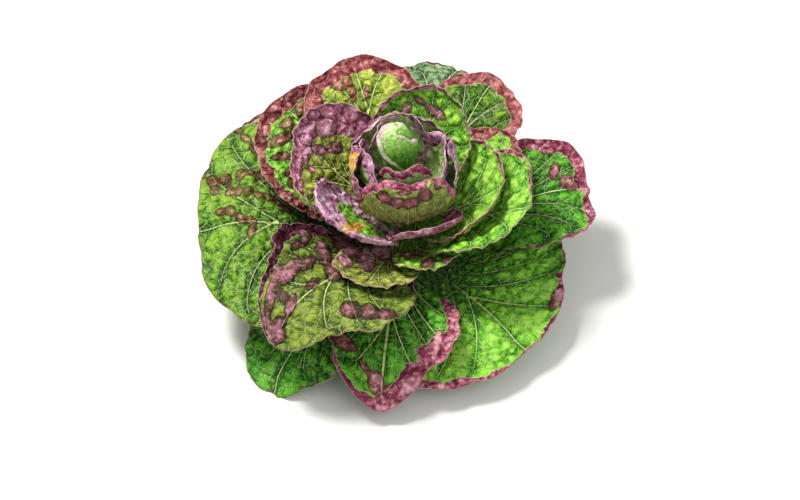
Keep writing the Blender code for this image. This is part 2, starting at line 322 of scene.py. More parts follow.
LEAVES = (
    Leaf("leaf_front_left_low", "outer", 4.97, -125, 167, 15, base=16, reach=(1, 0.82, 1.3, 0.78, 0.9),
        curl=(0, 0, 5, 0, 0),
        green="deep", purple="brown", margin=(-2, -2), blister=1.8, cell=10, painted_shade=0.7),
    Leaf("leaf_front_right", "outer", 5.0, -53, 151, 46, base=34, reach=(1, 1.27, 0.77, 0.61, 1.42),
        curl=(-10, 0, 15, 30, 50),
        purple="rose", margin=(-1, 4, 6, 6.5, 6, 0, 6, 5, -3, -4, -4), blister=1.4, cell=9, vein=1.2,
        painted_shade=1.3,
        patches=((557, 300, 14, 6, -62, 0.6),)),
    Leaf("leaf_back_low", "outer", 5.2, 112, 142, 28, curl=(0, 5, 10, 5, 0),
        green="blue", purple="plum", margin=(1, 3, 4, 3, 1), painted_shade=0.8),
    Leaf("leaf_back_right_low", "outer", 4.67, 75, 148, 30,
        green="blue", purple="plum", margin=(2, 4, 3, 4, 2), painted_shade=0.7),
    Leaf("leaf_back_left_low", "outer", 4.68, 148, 152, 30,
        green="blue", purple="plum", margin=(2, 3, 4, 6, 4), painted_shade=0.7),
    Leaf("leaf_right", "outer", 4.5, 8, 140, 25, curl=(10, 10, 20, 60, 60),
        green="deep", purple="rose", margin=(-3, -1, 4, 10, 12, 11, 6), blister=1.7, cell=9, beads=0.5,
        painted_shade=0.7,
        patches=(
            (554, 172, 5, 8, 10, 0.9), (569, 183, 10, 7, 15, 1.0), (548, 152, 7, 4, -15, 0.6))),
    Leaf("leaf_front", "outer", 4.52, -96, 164, 23, reach=(1, 0.46, 1.17, 0.82, 0.95),
        curl=(40, 50, -10, 50, 40), lift=(0, 0, -26, 0, 0), tip=24,
        green="deep", purple="rose", margin=(-3, -3, -2, -1, 5, 19, 23, 14, 6, 1), blister=1.3, cell=7,
        vein=1.5, painted_shade=0.7,
        patches=(
            (339, 340, 21, 8, 33, 1.0), (322, 326, 6, 4, 60, 0.3), (364, 366, 8, 3, 50, 0.5),
            (376, 383, 8, 12, -10, 1.0), (414, 384, 26, 13, -32, 1.2), (437, 346, 5, 20, 12, 0.8),
            (393, 391, 10, 8, -10, 1.0))),
    Leaf("leaf_left", "outer", 4.27, 190, 140, 50, reach=(1, 1.22, 0.8, 1.52, 1.3),
        curl=(10, 15, 10, -5, -10),
        green="leafy", purple="brown", margin=(12, 13, 4, -3, -3, -3, -3, -2, 0), blister=2.0, cell=10,
        vein=1.1, painted_shade=1.6,
        patches=(
            (213, 181, 6, 5, 0, 0.9), (226, 181, 6, 5, 0, 0.9), (215, 192, 5, 5, 0, 1.0),
            (240, 177, 4, 6, 10, 0.9), (249, 174, 7, 3, 10, 0.8), (260, 177, 6, 3, 20, 0.7),
            (230, 193, 4, 6, 30, 1.0), (239, 192, 4, 5, 20, 1.0), (248, 193, 4, 5, 20, 1.0),
            (258, 196, 5, 3, 20, 0.9), (268, 199, 6, 3, 25, 0.8), (278, 204, 6, 2.5, 35, 0.6),
            (221, 214, 5, 4, 0, 0.8), (231, 213, 6, 5, 30, 1.2), (241, 219, 7, 4, 30, 1.2),
            (252, 222, 6, 4, 40, 1.1), (251, 233, 4, 6, 10, 0.8), (286, 210, 5, 3, 45, 0.6),
            (204, 176, 3, 5, 10, 0.6), (238, 131, 7, 4, 30, 0.8), (246, 140, 8, 4, 50, 0.9),
            (253, 150, 7, 3, 60, 0.8))),
    Leaf("leaf_back_right", "outer", 4.15, 57, 126, 25, reach=(1, 1, 1, 0.85, 1),
        curl=(50, 30, 20, 40, 20),
        green="leafy", purple="pink", margin=(8, 12, 13, 11, 7, 4, 1), blister=2.6, cell=11, beads=0.7,
        painted_shade=0.2),
    Leaf("leaf_front_left", "outer", 3.84, -125, 132, 35, reach=(1, 0.95, 0.72, 1.6, 0.95),
        curl=(120, 130, 20, -10, -20), tip=32,
        green="moss", purple="plum", margin=(20, 24, 20, 12, 3, -2, -2, 0, 4, 3), blister=1.9, cell=12,
        beads=0.5, vein=1.1, painted_shade=0.35,
        patches=(
            (337, 273, 14, 10, 12, 3.0), (345, 246, 9, 16, -50, 1.4), (323, 254, 8, 13, -20, 2.4),
            (307, 265, 10, 6, -40, 2.2), (289, 273, 18, 8, -48, 2.4), (284, 299, 9, 5, 48, 1.8),
            (291, 306, 5, 13, 18, 1.4), (275, 334, 12, 12, 0, 2.0), (351, 311, 11, 9, 3, 1.0),
            (369, 314, 10, 8, 5, 1.0), (386, 316, 11, 6, 10, 1.0), (300, 244, 11, 5, -30, 1.2),
            (270, 300, 6, 20, 8, 2.0), (281, 322, 6, 5, 30, 1.2), (312, 285, 8, 4, -30, 0.8),
            (276, 276, 6, 12, 25, 1.8))),
    Leaf("leaf_back_left", "middle", 3.75, 141, 115, 42, reach=(1, 1.25, 1.05, 1, 1),
        purple="wine", margin=(4, 10, 14, 12, 12, 12, 6), blister=2.0, cell=8, beads=0.6, painted_shade=0.6,
        patches=(
            (277, 111, 9, 7, 0, 1.6), (302, 108, 8, 10, 0, 1.6), (279, 141, 15, 6, -25, 1.2),
            (291, 172, 8, 5, -30, 0.8), (293, 184, 6, 6, 30, 0.8), (284, 198, 7, 6, 0, 0.8),
            (312, 92, 11, 6, -10, 1.2), (292, 96, 9, 6, -20, 1.2), (286, 124, 8, 5, -40, 1.0),
            (297, 130, 7, 4, 20, 0.8), (281, 157, 9, 4, -10, 0.8))),
    Leaf("leaf_back", "middle", 3.35, 110, 122, 33, reach=(1, 0.8, 1, 1.05, 1), curl=(20, 20, 40, 20, 20),
        green="yellow", purple="pink", margin=(2, 5, 10, 15, 16, 12, 5), blister=1.3, cell=8, beads=0.7,
        vein=1.2, painted_shade=0.4,
        patches=(
            (340, 82, 12, 9, 0, 1.2), (353, 94, 3.5, 9, 0, 0.9), (366, 92, 2.5, 11, 15, 0.6),
            (318, 78, 8, 5, -30, 0.8))),
    Leaf("leaf_upper_right", "middle", 3.6, 22, 90, 38, curl=(20, 20, 30, 20, 10),
        green="fresh", purple="pink", margin=(2, 6, 8, 9, 8, 7, 5), blister=1.4, cell=7, beads=1.6,
        painted_shade=0.5),
    Leaf("leaf_front_small", "middle", 3.39, -107, 96, 22, base=20, curl=(20, 20, 10, 20, 20),
        green="olive", margin=(0, 0, -1, 0, 1), blister=1.5, cell=11,
        patches=(
            (350, 248, 15, 9, 18, 1.0), (366, 260, 9, 12, -20, 1.8), (381, 251, 12, 8, 35, 1.8),
            (396, 262, 6, 3, 50, 0.5), (345, 262, 8, 6, 30, 1.0))),
    Leaf("leaf_right_bowl", "middle", 2.61, -22, 102, 42, reach=(1.1, 1.1, 1, 1, 1),
        curl=(10, 20, 30, 40, 20),
        green="fresh", purple="rose", margin=(-3, -3, -3, -2, 2.5, 3.5, 4, 3), blister=1.6, cell=9,
        vein=1.2, painted_shade=0.2),
    Leaf("leaf_front_tip", "middle", 2.95, -74, 78, 20, base=20, curl=(10, 30, -20, 30, 10),
        green="fresh", purple="rose", margin=(-3, -3), blister=1.1, cell=6, painted_shade=0.2,
        patches=(
            (429, 264, 8, 5, -20, 1.2), (449, 261, 6, 4, -10, 1.0), (441, 251, 4, 5, 20, 1.0),
            (408, 256, 7, 4, 0, 0.9), (419, 254, 5, 3, 30, 0.8))),
    Leaf("leaf_left_cupped", "middle", 2.55, 157, 93, 46, curl=(20, 60, 40, 20, 10),
        green="olive", margin=(10, 20, 27, 22, 9, 1, 0), blister=1.9, cell=9, painted_shade=0.1,
        patches=(
            (325, 128, 12, 10, 0, 1.2), (306, 140, 8, 6, 30, 1.2), (334, 148, 8, 6, 0, 1.0),
            (318, 150, 8, 5, 20, 0.9), (305, 158, 4, 3, 0, 0.7), (312, 115, 8, 6, 0, 1.0),
            (322, 181, 5, 3, 40, 0.4), (311, 170, 4, 3, 40, 0.4))),
    Leaf("leaf_front_curled", "middle", 2.2, -141, 80, 40, curl=(60, 110, 100, 60, 20),
        green="fresh", purple="lilac", margin=(22, 30, 34, 30, 18), blister=1.8, cell=6, beads=0.5,
        vein=0.6,
        patches=(
            (375, 222, 9, 4, 50, 1.2), (362, 214, 12, 4, 35, 1.4), (384, 228, 8, 4, 40, 1.0)),
        gold=((352, 228, 14, 6, -5, 0.0),)),
    Leaf("leaf_right_cupped", "middle", 2.25, -10, 80, 55, curl=(60, 60, 50, 40, 10),
        green="fresh", purple="rose", margin=(3.5, 3.5), blister=1.3, cell=8,
        vein=1.3, painted_shade=0.15),
    Leaf("leaf_front_folded", "middle", 1.85, -66, 66, 36, curl=(20, 40, 90, 90, 60),
        margin=(8, 16, 24, 24, 18, 10), blister=1.0, cell=7, beads=0.4, painted_shade=0.1),
    Leaf("leaf_back_folded", "middle", 1.84, 70, 82, 44, curl=(80, 100, 60, 40, 10),
        green="fresh", margin=(5, 5, 5, 5, 4, 4), blister=1.1, cell=8,
        patches=(
            (407, 108, 5, 7, 20, 0.8), (436, 112, 12, 5, 35, 0.8), (420, 100, 7, 3, 30, 0.6))),
    Leaf("cup_leaf_front", "inner", 1.06, -86, 80, 50.5, curl=(10, 20, 50, 20, 10),
        green="olive", purple="berry", margin=(4, 5, 5, 5, 4), blister=1.3, cell=6, vein=0.6, painted_shade=1.1,
        patches=(
            (384, 197, 8, 5, 25, 1.2), (397, 203, 8, 5, 5, 1.4), (411, 203, 8, 5, -15, 1.4),
            (425, 195, 7, 6, -40, 1.2), (439, 181, 5, 9, 15, 1.0), (404, 193, 6, 2, 0, 0.6))),
    Leaf("cup_leaf_right", "inner", 0.82, 5, 66, 32, curl=(10, 40, -150, 40, 10),
        green="pale", purple="lilac", margin=(8, 12, 15, 12, 8), blister=1.0, cell=6),
    Leaf("cup_leaf_back", "inner", 1.0, 100, 75, 52, reach=(1, 0.95, 1, 1, 1), curl=(10, 30, 20, 30, 10),
        green="pale", purple="lilac", margin=(6, 8, 9, 8, 6), blister=0.8, cell=6,
        gold=((397, 114, 12, 5, 10, 0.0),)),
    Leaf("cup_leaf_left", "inner", 0.82, 188, 66, 33, curl=(10, 40, -150, 40, 10),
        green="olive", margin=(8, 12, 15, 12, 8), blister=0.9, cell=6,
        gold=((356, 162, 9, 10, 0, 0.0),)),
    Leaf("frill_leaf_left", "frill", 0.36, 196, 60, 54, curl=(-20, -50, -60, -50, -20),
        green="pale", purple="lilac", margin=(12, 16, 18, 16, 12), blister=0.6, cell=5),
    Leaf("frill_leaf_right", "frill", 0.34, 6, 58, 50, curl=(-20, -50, -60, -50, -20),
        green="pale", purple="lilac", margin=(8, 12, 14, 12, 8), blister=0.6, cell=5),
    Leaf("frill_leaf_back", "frill", 0.02, 104, 62, 48, curl=(20, 40, 30, 40, 20),
        green="pale", purple="lilac", margin=(5, 8, 10, 8, 5), blister=0.6, cell=5),
    Leaf("frill_leaf_front", "frill", 0.0, -88, 58, 44, curl=(10, 30, 40, 30, 10),
        green="pale", purple="berry", margin=(4, 5, 6, 5, 4), blister=0.6, cell=5),
)


def smooth_step(x):
    x = np.clip(x, 0, 1)
    return x * x * (3 - 2 * x)


def steered(values, t):
    """Bezier curve through the first and last of its steering values, t from 0 to 1."""
    n = len(values) - 1
    return sum(math.comb(n, k) * t**k * (1 - t) ** (n - k) * v for k, v in enumerate(values))


def bowl_section(ring):
    """Points (radius, height) down one bowl's half section, with their arc lengths."""
    last = len(BOWLS) - 2
    i = min(int(ring), last)
    f = ring - i
    here, there = BOWLS[i], BOWLS[i + 1]
    before = BOWLS[i - 1] if i > 0 else 2 * here - there
    after = BOWLS[i + 2] if i < last else 2 * there - here
    control = 0.5 * (2 * here + (there - before) * f
                     + (2 * before - 5 * here + 4 * there - after) * f**2
                     + (3 * here - before - 3 * there + after) * f**3)
    t = np.linspace(0, 1, BOWL_STEPS)[:, None]
    curve = steered(list(control), t)
    tail = curve[-1] - curve[-2]
    curve = np.vstack([curve, curve[-1] + tail / np.linalg.norm(tail) * BOWL_TAIL])
    steps = np.linalg.norm(np.diff(curve, axis=0), axis=1)
    return curve, np.concatenate([[0], np.cumsum(steps)])


def place_on_bowl(ring, azimuth, s, phi, rise):
    """World points at arc length s and side angle phi, rise above the bowl."""
    curve, arc = bowl_section(ring)
    r = np.interp(s, arc, curve[:, 0])
    z = np.interp(s, arc, curve[:, 1])
    dr = np.interp(s + SLOPE_STEP, arc, curve[:, 0]) - np.interp(s - SLOPE_STEP, arc, curve[:, 0])
    dz = np.interp(s + SLOPE_STEP, arc, curve[:, 1]) - np.interp(s - SLOPE_STEP, arc, curve[:, 1])
    slope = np.hypot(dr, dz)
    r = r - rise * dz / slope
    z = z + rise * dr / slope
    angle = math.radians(azimuth) + phi
    behind = (0.5 + 0.5 * np.sin(angle)) ** LIFT_FOCUS
    z = z + BACK_LIFT * behind * smooth_step(r / LIFT_RADIUS)
    return np.stack([r * np.cos(angle), r * np.sin(angle), z], -1)


def unit(vectors):
    return vectors / np.linalg.norm(vectors, axis=-1, keepdims=True)


def sheet_normals(points):
    """Normals of a grid of points, towards the heart's side of the leaf."""
    return unit(np.cross(np.gradient(points, axis=0), np.gradient(points, axis=1)))


def ruffles(a, seed):
    """Uneven waves along the edge, about -2 to 2."""
    starts = np.random.default_rng(seed).uniform(0, 2 * math.pi, len(WAVES))
    return sum(height * np.sin(rate * a + start) for (rate, height), start in zip(WAVES, starts))


def leaf_sheet(leaf, seed):
    """Middle surface of a leaf: rows from base to edge, columns across."""
    rows, columns, strip_rows = FINE_SIZE[leaf.kind]
    tau = np.linspace(-1, 1, columns + 1)
    share = (tau + 1) / 2
    a = LEAF_SWEEP * tau
    ruffle = ruffles(a, seed)
    edge = leaf.length * EDGE_SHARE * (EDGE_TAPER + (1 - EDGE_TAPER) * np.sqrt(1 - tau**2))
    outline = leaf.length * np.cos(a / 2) ** 2 * steered(leaf.reach, share)
    outline = outline + leaf.tip * np.exp(-(tau / TIP_WIDTH) ** 2)
    outline = outline * (1 + OUTLINE_WAVE * ruffle) - edge * np.cos(a)
    fan = math.radians(leaf.spread) * np.sin(a)
    rho = np.linspace(0, 1, rows + 1)[:, None]
    s = rho * outline
    phi = (1 - rho) * math.radians(leaf.base) * tau + rho * fan
    rise = rho**EDGE_ONSET * (ruffle + steered(leaf.lift, share))
    sheet = place_on_bowl(leaf.ring, leaf.azimuth, s, phi, rise)
    nicks = 1 + EDGE_NICK * sum(h * np.sin(rate * tau + seed * rate) for rate, h in NICK_RATES)
    strip = edge_strip(leaf, sheet, share, edge, strip_rows, nicks)
    return np.concatenate([sheet, strip])


def edge_strip(leaf, sheet, share, edge, strip_rows, nicks):
    """Rows that carry the sheet on past its last row, bent up by the leaf's curl."""
    up = sheet_normals(sheet)[-1]
    out = unit(np.cross(unit(np.gradient(sheet[-1], axis=0)), up))
    curl = np.radians(steered(leaf.curl, share))
    curl = np.where(np.abs(curl) < LEAST_CURL, LEAST_CURL, curl)[:, None]
    strip = []
    for k in range(1, strip_rows + 1):
        turn = curl * k / strip_rows
        radius = (edge * nicks)[:, None] / curl
        strip.append(sheet[-1] + radius * (np.sin(turn) * out + (1 - np.cos(turn)) * up))
    return np.array(strip)


def arc_lengths(grid, axis):
    """Distance along a grid's lines from their first point."""
    steps = np.linalg.norm(np.diff(grid, axis=axis), axis=-1)
    start = np.zeros_like(np.take(steps, [0], axis=axis))
    return np.concatenate([start, np.cumsum(steps, axis=axis)], axis=axis)


def vein_courses(rho, rng):
    """Side positions and half widths, at every row, of one half's main veins and branches."""
    mains = [(np.zeros_like(rho), MIDRIB_WIDTHS[0] * (1 - rho) + MIDRIB_WIDTHS[1])]
    branches = []
    for start, end in SIDE_VEINS:
        start = start * rng.uniform(*START_SPREAD)
        end = end * rng.uniform(*END_SPREAD)
        stop = rng.uniform(*STOP_SPREAD)
        t = np.maximum((rho - start) / (stop - start), 0)
        bend = SIDE_BEND[0] + SIDE_BEND[1] * start
        course = np.minimum(end * t**bend, FURTHEST_ASIDE)
        mains.append((course, vein_width(t, *MAIN_WIDTHS)))
        for place, aside in BRANCHES:
            place = place + rng.uniform(*FORK_SPREAD)
            fork = start + place * (stop - start)
            u = np.maximum((rho - fork) / BRANCH_RUN, 0)
            turned = course + aside * rng.uniform(*TURN_SPREAD) * u**TURN_BEND
            branches.append((turned, vein_width(u, *BRANCH_WIDTHS)))
    return mains, branches


def vein_width(t, first, last):
    """Half width from where a vein starts, t = 0, to its end, and nothing before and after."""
    width = last + (first - last) * (1 - t)
    return np.where((t > 0) & (t < 1), width, NO_VEIN)


def distance_to_veins(tau, courses, across_step, down_step):
    """Signed distance to the nearest of some veins, and its half width.

    The sign turns at every vein, so the value runs evenly through zero there.
    """
    best = np.full(across_step.shape, FAR)
    sign = np.ones_like(best)
    width = np.full_like(best, NO_VEIN)
    rows = len(courses[0][0])
    for course, half in courses:
        slant = np.gradient(course, 1 / (rows - 1))[:, None] * across_step / down_step
        gap = np.abs(tau) - course[:, None]
        away = np.abs(gap) * across_step / np.hypot(1, slant)
        nearer = away < best
        best = np.where(nearer, away, best)
        width = np.where(nearer, half[:, None], width)
        sign = sign * np.where(gap < 0, -1, 1)
    return best * sign, width


def veins_of(leaf, down, across, rng):
    """Signed distances and half widths of the main veins and of the branches."""
    rows, columns = down.shape
    tau = np.linspace(-1, 1, columns)[None]
    rho = np.linspace(0, 1, rows)
    across_step = np.gradient(across, 2 / (columns - 1), axis=1)
    down_step = np.gradient(down, 1 / (rows - 1), axis=0)
    size = leaf.length / USUAL_LENGTH * leaf.vein
    parts = []
    for side in (tau < 0, tau >= 0):
        mains, branches = vein_courses(rho, rng)
        for family in (mains, branches):
            away, width = distance_to_veins(tau, family, across_step, down_step)
            parts.append((side, away, np.where(width > 0, width * size, width)))
    main, branch = (
        [np.where(parts[k][0], parts[k][i], parts[k + 2][i]) for i in (1, 2)] for k in (0, 1))
    return main, branch


def scatter(points, gap, rng):
    """Some of the points, at random, no two nearer than gap."""
    order = rng.integers(0, len(points), CELL_TRIES)
    kept = np.empty((0, 3))
    for index in order:
        point = points[index]
        if len(kept) == 0 or ((kept - point) ** 2).sum(-1).min() > gap * gap:
            kept = np.vstack([kept, point])
    return kept


def cells(points, seeds):
    """Nearest seed of each point, and the distance to the border of its cell."""
    squares = ((points**2).sum(-1)[:, None] + (seeds**2).sum(-1)[None]
               - 2 * points @ seeds.T)
    order = np.argpartition(squares, NEAREST_SEEDS - 1, axis=1)[:, :NEAREST_SEEDS]
    near = np.take_along_axis(squares, order, 1)
    rank = near.argsort(1)
    order = np.take_along_axis(order, rank, 1)
    near = np.take_along_axis(near, rank, 1)
    own = order[:, 0]
    border = np.full(len(points), FAR)
    for k in range(1, NEAREST_SEEDS):
        apart = np.linalg.norm(seeds[order[:, k]] - seeds[own], axis=-1)
        border = np.minimum(border, (near[:, k] - near[:, 0]) / (2 * apart))
    return own, border


def drift(points, wavelength, rng):
    """Soft random field over space, about -1 to 1."""
    total = np.zeros(points.shape[:-1])
    for _ in range(SWELL_WAVES):
        direction = unit(rng.normal(size=3))
        rate = 2 * math.pi / wavelength / rng.uniform(*SWELL_SPREAD)
        total += np.sin(points @ direction * rate + rng.uniform(0, 2 * math.pi))
    return total / SWELL_SCALE


def view_axes():
    """Directions back to the camera and up in its picture."""
    e = math.radians(VIEW_ELEVATION)
    return np.array((0, -math.cos(e), math.sin(e))), np.array((0, math.sin(e), math.cos(e)))


def to_pixels(points):
    """Where points are seen in the view, with their depth."""
    back, up = view_axes()
    q = points - np.array(VIEW_TARGET)
    depth = VIEW_DISTANCE - q @ back
    x = VIEW_SIZE[0] / 2 + q[..., 0] / depth * VIEW_FOCAL_PIXELS
    y = VIEW_SIZE[1] / 2 - (q @ up) / depth * VIEW_FOCAL_PIXELS
    return np.stack([x, y], -1), depth


def ellipses(places, points):
    """Depth in millimetres inside the nearest of some patches, and their rise.

    The depth is negative outside, and overlapping patches each keep their outline.
    """
    inside = np.full(len(points), -PATCH_FAR)
    second = inside.copy()
    rise = np.zeros(len(points))
    seen, depth = to_pixels(points)
    for x, y, long, short, turn, height in places:
        gap = seen - np.array((x, y))
        centre = points[(np.hypot(*gap.T) + NEARER_LAYER * depth).argmin()]
        c, s = math.cos(math.radians(turn)), math.sin(math.radians(turn))
        away = np.hypot((gap[:, 0] * c + gap[:, 1] * s) / long,
                        (gap[:, 1] * c - gap[:, 0] * s) / short)
        near = np.linalg.norm(points - centre, axis=-1) < PATCH_REACH * long
        here = np.where(near, (1 - away) * short * PIXEL, -PATCH_FAR)
        second = np.maximum(second, np.minimum(inside, here))
        inside = np.maximum(inside, here)
        hump = height * np.clip(1 - away**2, 0, 1) ** PATCH_BEND
        rise = np.where(near, np.maximum(rise, hump), rise)
    return inside - np.maximum(second, 0), rise


def blade_fields(leaf, grid, seed):
    """Relief and colour fields of one leaf's fine grid."""
    rng = np.random.default_rng(FIRST_SEED + seed)
    rows, columns = grid.shape[:2]
    points = grid.reshape(-1, 3)
    down, across = arc_lengths(grid, 0), arc_lengths(grid, 1)
    to_edge = down[-1] - down
    to_side = np.minimum(across, across[:, -1:] - across)
    from_base = smooth_step(down / (BASE_SHARE * leaf.length))
    rim = np.minimum(to_edge, to_side)

    share = np.linspace(0, 1, columns)
    width = np.interp(share, np.linspace(0, 1, len(leaf.margin)), leaf.margin)[None]
    side_width = np.where(share < 0.5, leaf.margin[0], leaf.margin[-1])[None]
    margin = np.maximum(width - to_edge, side_width * from_base**2 - to_side)
    margin = margin - BASE_MARGIN * (1 - from_base)

    (main, main_half), (branch, branch_half) = veins_of(leaf, down, across, rng)
    gully = np.abs(main)
    seeds = scatter(points, leaf.cell, rng)
    own, border = cells(points, seeds)
    border = np.minimum(border.reshape(rows, columns), gully)
    dome = smooth_step(border / (0.5 * leaf.cell))

    heights = rng.uniform(*DOME_HEIGHTS, len(seeds))
    patch, swelling = ellipses(leaf.patches, points)
    gold, _ = ellipses(leaf.gold, points)

    swell = drift(grid, SWELL_LENGTH * leaf.length, rng)
    at_edge = np.exp(-((to_edge / CRINKLE_REACH) ** 2))
    along = across[-1:]
    crinkle = sum(h * np.sin(2 * math.pi * along / wave + rng.uniform(0, LATEST_PHASE)
                             + CRINKLE_SHIFT * swell) for wave, h in CRINKLE_WAVES)
    beads = np.abs(np.sin(math.pi * along / BEAD_WAVE + BEAD_SHIFT * swell))
    beads = beads * np.exp(-((to_edge / BEAD_REACH) ** 2))
    relief = leaf.blister * dome * heights[own].reshape(rows, columns)
    relief = relief + PUCKER_HEIGHT * (leaf.length / USUAL_LENGTH) * smooth_step(gully / PUCKER_REACH)
    relief = relief * from_base + swelling.reshape(rows, columns)
    relief = relief + (leaf.length * CRINKLE_SHARE + CRINKLE_LEAST) * crinkle * at_edge
    relief = relief + leaf.beads * beads
    groove = np.exp(-((gully / VEIN_VALLEY) ** 2))
    return {
        "relief": relief - VEIN_RECESS * groove * from_base,
        "groove": groove,
        "rim": rim,
        "margin": np.clip(margin, *MARGIN_LIMITS),
        "vein": np.clip(main, -VEIN_LIMIT, VEIN_LIMIT),
        "vein_half": main_half,
        "branch": np.clip(branch, -VEIN_LIMIT, VEIN_LIMIT),
        "branch_half": branch_half,
        "net": np.clip(border, 0, NET_LIMIT),
        # painted highlight: the colour lightens towards the crowns of the domes, and the hollows between
        # them stay darker as painted shade
        "dome": dome * (DOME_HIGHLIGHTS[0] + DOME_HIGHLIGHTS[1] * heights[own].reshape(rows, columns)),
        "patch": patch,
        "gold": gold,
        # depth is painted shade: strongest at the leaf's base, where the leaves around it shadow it, and
        # gone towards its edge
        "depth": leaf.painted_shade * (1 - smooth_step(down / np.maximum(down[-1:], 1) * PAINTED_SHADE_REACH)),
    }


def blade_mesh(name, leaf, seed, material):
    """Closed blade of one leaf: its relief above, its rib and ridges below."""
    grid = leaf_sheet(leaf, seed)
    fields = blade_fields(leaf, grid, seed)
    normals = sheet_normals(grid)
    rows, columns = grid.shape[:2]
    rho = np.linspace(0, 1, rows)[:, None]
    middle = grid[:, columns // 2][:, None]
    aside = np.linalg.norm(grid - middle, axis=-1)
    rib = leaf.length * RIB_DEPTH * (1 - rho) ** RIB_FADE * np.exp(-(aside / RIB_WIDTH) ** 2)
    ridge = VEIN_RIDGE * fields["groove"] * (leaf.length / USUAL_LENGTH)
    half = BLADE / 2 * (RIM_TAPER + (1 - RIM_TAPER) * smooth_step(fields["rim"] / RIM_REACH))
    relief = fields["relief"]
    upper = grid + normals * (half + relief)[..., None]
    lower = grid - normals * (half + rib + ridge - relief)[..., None]
    sunk = np.maximum(REST_HEIGHT - lower[..., 2], 0)
    upper[..., 2] += sunk
    lower[..., 2] += sunk
    points = np.concatenate([upper.reshape(-1, 3), lower.reshape(-1, 3)])
    shown = {key: np.concatenate([values.ravel()] * 2) for key, values in fields.items()
             if key not in ("relief", "groove")}
    shown["under"] = np.repeat((0.0, 1.0), rows * columns)
    return add_mesh(name, points, blade_quads(rows, columns), material, shown)


def blade_quads(rows, columns):
    """Faces that close a blade, wound to face outwards."""
    index = np.arange(rows * columns).reshape(rows, columns)
    under = index + rows * columns

    def quads(a, b, c, d):
        return np.stack([a, b, c, d], -1).reshape(-1, 4)

    return np.concatenate([
        quads(index[:-1, :-1], index[1:, :-1], index[1:, 1:], index[:-1, 1:]),
        quads(under[1:, 1:], under[1:, :-1], under[:-1, :-1], under[:-1, 1:]),
        quads(index[-1, :-1], under[-1, :-1], under[-1, 1:], index[-1, 1:]),
        quads(index[0, 1:], under[0, 1:], under[0, :-1], index[0, :-1]),
        quads(index[:-1, 0], under[:-1, 0], under[1:, 0], index[1:, 0]),
        quads(index[1:, -1], under[1:, -1], under[:-1, -1], index[:-1, -1]),
    ])


def add_object(name, data):
    thing = bpy.data.objects.new(name, data)
    bpy.context.scene.collection.objects.link(thing)
    return thing


def add_mesh(name, points, faces, material, fields):
    """Smooth-shaded object in metres from points in millimetres, with its fields."""
    mesh = bpy.data.meshes.new(name)
    mesh.from_pydata((np.asarray(points) * MM).tolist(), [], [list(map(int, f)) for f in faces])
    mesh.validate()
    for key, values in fields.items():
        layer = mesh.attributes.new(key, "FLOAT", "POINT")
        layer.data.foreach_set("value", np.asarray(values, np.float32))
    mesh.shade_smooth()
    mesh.materials.append(material)
    return add_object(name, mesh)


def linear(rgb):
    """Linear colour with alpha from sRGB values of 0 to 255."""
    values = [v / 255 for v in rgb]
    return (*[v / 12.92 if v <= 0.04045 else ((v + 0.055) / 1.055) ** 2.4 for v in values], 1.0)


